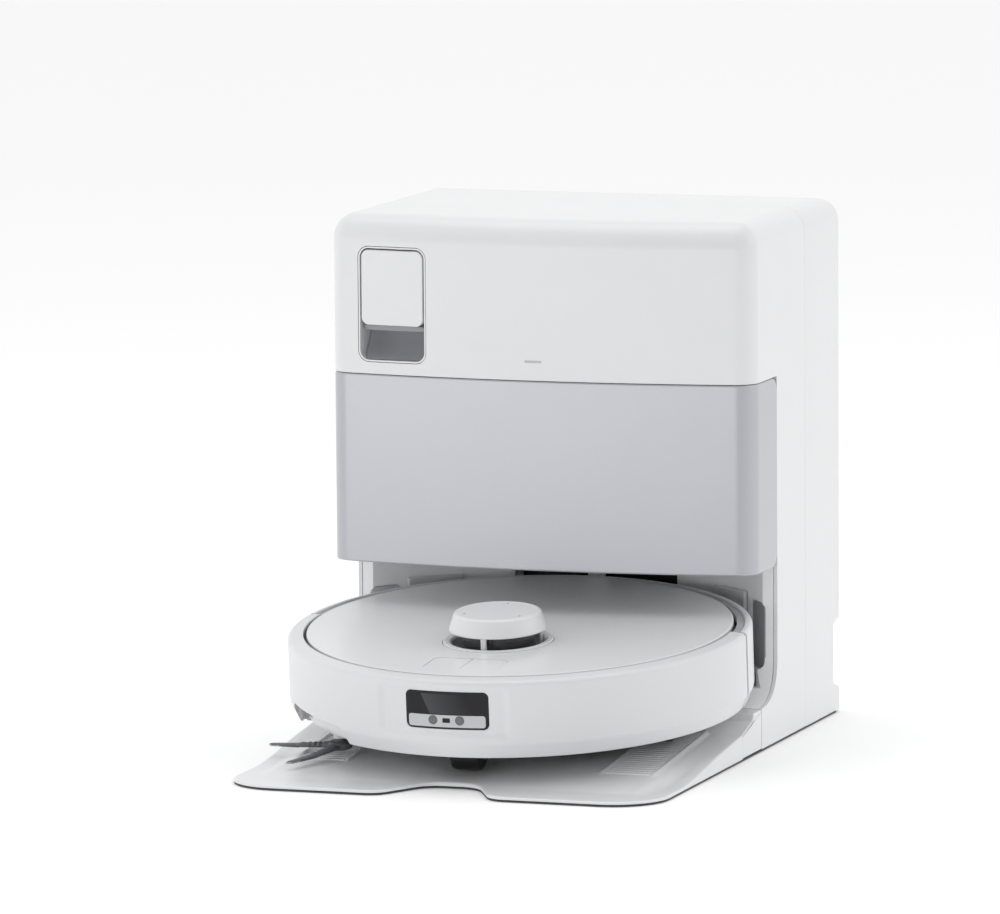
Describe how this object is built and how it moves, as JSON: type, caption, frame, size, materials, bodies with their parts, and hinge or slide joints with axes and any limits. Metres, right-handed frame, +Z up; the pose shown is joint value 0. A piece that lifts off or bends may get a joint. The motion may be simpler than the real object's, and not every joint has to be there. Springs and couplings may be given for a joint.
{
  "type": "robot vacuum with station",
  "caption": "Round robot vacuum and mop with a lidar turret, parked on the ramp of its emptying and washing station; it drives out.",
  "frame": {"origin": "on the floor, under the middle of the whole object with the robot parked", "axes": "+Z up; -Y is the side the robot drives out of, the front; +X is the right of a person facing the back wall from the front"},
  "size_m": [0.353, 0.4872, 0.405],
  "materials": {
    "white_shell": "satin white",
    "white_satin": "fine satin",
    "pale_plastic": "fine satin",
    "panel_grey": "pearl silver grey",
    "silver_trim": "silver lacquer",
    "dark_window": "polished",
    "graphite": "matt",
    "wheel_rubber": "moulded tread",
    "soft_rubber": "matt",
    "fitting_metal": "brushed",
    "circuit_board": "solder mask",
    "bag_fleece": "non-woven",
    "mop_pile": "short pile"
  },
  "bodies": {
    "station": {"front_shell": "white_shell", "rear_cover": "white_shell", "bay_shroud": "white_satin", "bay_back_wall": "white_satin", "signal_window": "dark_window", "signal_bracket": "white_satin", "base_tray": "white_satin", "front_ramp": "white_satin", "floor_mat": "soft_rubber", "left_vent": "graphite", "left_guide": "graphite", "right_vent": "graphite", "right_guide": "graphite", "inner_frame": "pale_plastic", "dust_bag": "bag_fleece", "bag_collar": "pale_plastic", "suction_fan": "graphite", "drawer_bezel": "pale_plastic", "finger_scoop": "silver_trim", "status_light": "pale_plastic", "wash_pump": "graphite", "drying_fan": "graphite", "control_board": "circuit_board", "power_inlet": "graphite", "water_inlet": "fitting_metal", "drain_outlet": "graphite", "wash_tray": "pale_plastic"},
    "dust_cover": {"dust_cover": "panel_grey"},
    "detergent_drawer": {"detergent_drawer": "white_shell"},
    "left_contact": {"left_contact": "graphite"},
    "right_contact": {"right_contact": "graphite"},
    "robot": {"chassis": "pale_plastic", "rear_shell": "white_shell", "upper_deck": "white_satin", "turret_cup": "white_satin", "brush_guard": "graphite", "side_brush_motor": "pale_plastic", "dustbin": "pale_plastic", "blower": "graphite", "battery": "dark_window", "main_board": "circuit_board"},
    "bumper": {"bumper": "white_shell", "camera_window": "dark_window", "sensor_band": "pale_plastic"},
    "top_cover": {"top_cover": "white_shell"},
    "turret_rotor": {"turret_rotor": "dark_window"},
    "turret_cap": {"turret_cap": "white_shell"},
    "power_key": {"power_key": "white_shell"},
    "dock_key": {"dock_key": "white_shell"},
    "left_suspension": {"left_suspension_arm": "graphite"},
    "right_suspension": {"right_suspension_arm": "graphite"},
    "left_wheel": {"left_wheel": "wheel_rubber"},
    "right_wheel": {"right_wheel": "wheel_rubber"},
    "caster_fork": {"caster_fork": "pale_plastic"},
    "caster_wheel": {"caster_wheel": "wheel_rubber"},
    "main_brush": {"main_brush": "soft_rubber"},
    "side_brush": {"side_brush": "soft_rubber"},
    "mop_carriage": {"mop_carriage": "graphite"},
    "left_mop": {"left_mop": "mop_pile"},
    "right_mop": {"right_mop": "mop_pile"}
  },
  "joints": [
    {"name": "robot_drive_out", "type": "hinge", "parent": "station", "child": "robot", "pos_m": [0, -0.48228, 5.05186], "axis": [-1, 0, 0], "range_deg": [0, 5.1]},
    {"name": "dust_cover_pull", "type": "slide", "parent": "station", "child": "dust_cover", "axis": [0, -1, 0], "range_m": [0, 0.07]},
    {"name": "detergent_drawer_pull", "type": "slide", "parent": "station", "child": "detergent_drawer", "axis": [0, -1, 0], "range_m": [0, 0.115]},
    {"name": "right_contact_press", "type": "slide", "parent": "station", "child": "right_contact", "axis": [0.7986, 0.6018, 0], "range_m": [0, 0.002], "stiffness_N_per_m": 900, "springref_m": -0.001},
    {"name": "left_contact_press", "type": "slide", "parent": "station", "child": "left_contact", "axis": [-0.7986, 0.6018, 0], "range_m": [0, 0.002], "stiffness_N_per_m": 900, "springref_m": -0.001},
    {"name": "bumper_press", "type": "slide", "parent": "robot", "child": "bumper", "axis": [0, 0.996, 0.0889], "range_m": [0, 0.002], "stiffness_N_per_m": 1500, "springref_m": -0.001},
    {"name": "top_cover_lift", "type": "slide", "parent": "robot", "child": "top_cover", "axis": [0, -0.0889, 0.996], "range_m": [0, 0.015]},
    {"name": "turret_spin", "type": "hinge", "parent": "robot", "child": "turret_rotor", "pos_m": [0, -0.09111, 0.09515], "axis": [0, -0.0889, 0.996], "continuous": true},
    {"name": "turret_cap_press", "type": "slide", "parent": "robot", "child": "turret_cap", "axis": [0, 0.0889, -0.996], "range_m": [0, 0.0012], "stiffness_N_per_m": 2500, "springref_m": -0.001},
    {"name": "power_key_press", "type": "slide", "parent": "robot", "child": "power_key", "axis": [0, 0.0889, -0.996], "range_m": [0, 0.0008], "stiffness_N_per_m": 1500, "springref_m": -0.001},
    {"name": "dock_key_press", "type": "slide", "parent": "robot", "child": "dock_key", "axis": [0, 0.0889, -0.996], "range_m": [0, 0.0008], "stiffness_N_per_m": 1500, "springref_m": -0.001},
    {"name": "left_suspension_swing", "type": "hinge", "parent": "robot", "child": "left_suspension", "pos_m": [-0.101, -0.00506, 0.06468], "axis": [-1, 0, 0], "range_deg": [0, 6], "stiffness_Nm_per_rad": 30, "springref_deg": -1.15},
    {"name": "left_wheel_spin", "type": "hinge", "parent": "left_suspension", "child": "left_wheel", "pos_m": [-0.115, -0.05026, 0.05362], "axis": [1, 0, 0], "continuous": true},
    {"name": "right_suspension_swing", "type": "hinge", "parent": "robot", "child": "right_suspension", "pos_m": [0.101, -0.00506, 0.06468], "axis": [-1, 0, 0], "range_deg": [0, 6], "stiffness_Nm_per_rad": 30, "springref_deg": -1.15},
    {"name": "right_wheel_spin", "type": "hinge", "parent": "right_suspension", "child": "right_wheel", "pos_m": [0.115, -0.05026, 0.05362], "axis": [1, 0, 0], "continuous": true},
    {"name": "caster_swivel", "type": "hinge", "parent": "robot", "child": "caster_fork", "pos_m": [0, -0.16635, 0.03824], "axis": [0, -0.0889, 0.996], "continuous": true},
    {"name": "caster_roll", "type": "hinge", "parent": "caster_fork", "child": "caster_wheel", "pos_m": [0, -0.16185, 0.02157], "axis": [1, 0, 0], "continuous": true},
    {"name": "main_brush_spin", "type": "hinge", "parent": "robot", "child": "main_brush", "pos_m": [0, -0.08359, 0.04462], "axis": [1, 0, 0], "continuous": true},
    {"name": "side_brush_spin", "type": "hinge", "parent": "robot", "child": "side_brush", "pos_m": [-0.112, -0.13334, 0.01709], "axis": [0, -0.0889, 0.996], "continuous": true},
    {"name": "mop_lift", "type": "slide", "parent": "robot", "child": "mop_carriage", "axis": [0, -0.0889, 0.996], "range_m": [-0.0035, 0.008]},
    {"name": "left_mop_spin", "type": "hinge", "parent": "mop_carriage", "child": "left_mop", "pos_m": [-0.068, 0.04776, 0.03526], "axis": [0, -0.0889, 0.996], "continuous": true},
    {"name": "right_mop_spin", "type": "hinge", "parent": "mop_carriage", "child": "right_mop", "pos_m": [0.068, 0.04776, 0.03526], "axis": [0, -0.0889, 0.996], "continuous": true}
  ],
  "couplings": [
    {"joint": "right_mop_spin", "follows": "left_mop_spin", "ratio": -1}
  ]
}
